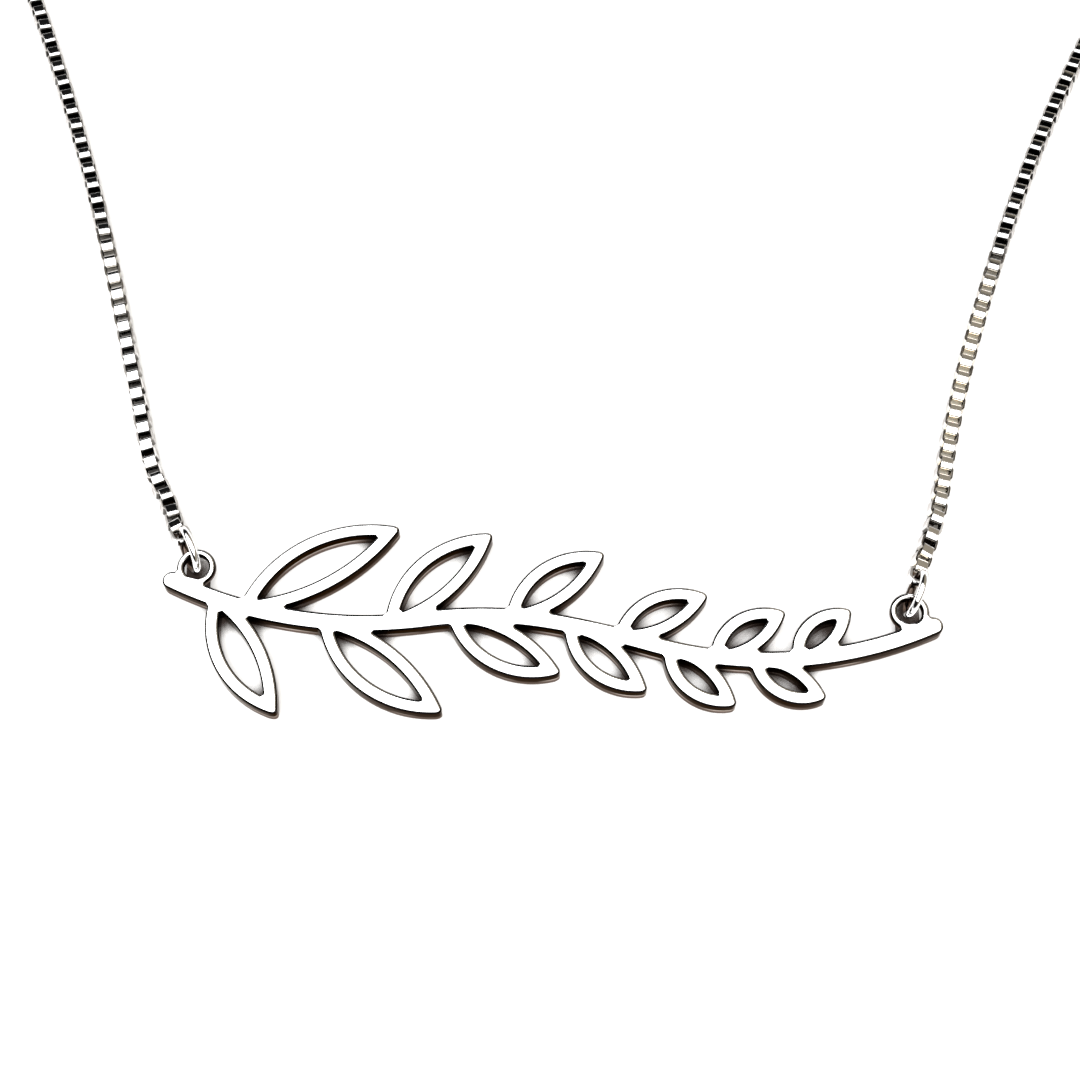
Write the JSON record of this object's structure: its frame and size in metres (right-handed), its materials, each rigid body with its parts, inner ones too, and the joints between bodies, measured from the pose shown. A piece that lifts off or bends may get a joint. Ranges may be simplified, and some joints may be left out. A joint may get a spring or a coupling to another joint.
{
  "type": "nameplate necklace",
  "caption": "Openwork leaf-sprig nameplate in polished silver on a fine box chain, a closed loop that lies face up, with jump rings and a ring clasp.",
  "frame": {"origin": "on the nameplate's flat back face, in the middle of its stem", "axes": "+Z out of the nameplate's front, away from the surface it lies on; +Y up the nameplate, along the loop to the clasp; +X along the nameplate to the right"},
  "size_m": [0.121, 0.1704, 0.003],
  "materials": {
    "plate_silver": "mirror polished sterling silver",
    "wire_silver": "bright drawn silver wire",
    "chain_silver": "bright silver strip, folded into links"
  },
  "bodies": {
    "root": {"nameplate": "plate_silver", "jump_ring_left": "wire_silver", "jump_ring_right": "wire_silver", "end_link_left_front": "chain_silver", "end_link_right_front": "chain_silver", "chain_left": "chain_silver", "chain_right": "chain_silver", "end_link_left_back": "chain_silver", "end_link_right_back": "chain_silver", "clasp_ring_left": "wire_silver", "clasp_ring_right": "wire_silver", "clasp": "wire_silver"}
  },
  "joints": []
}
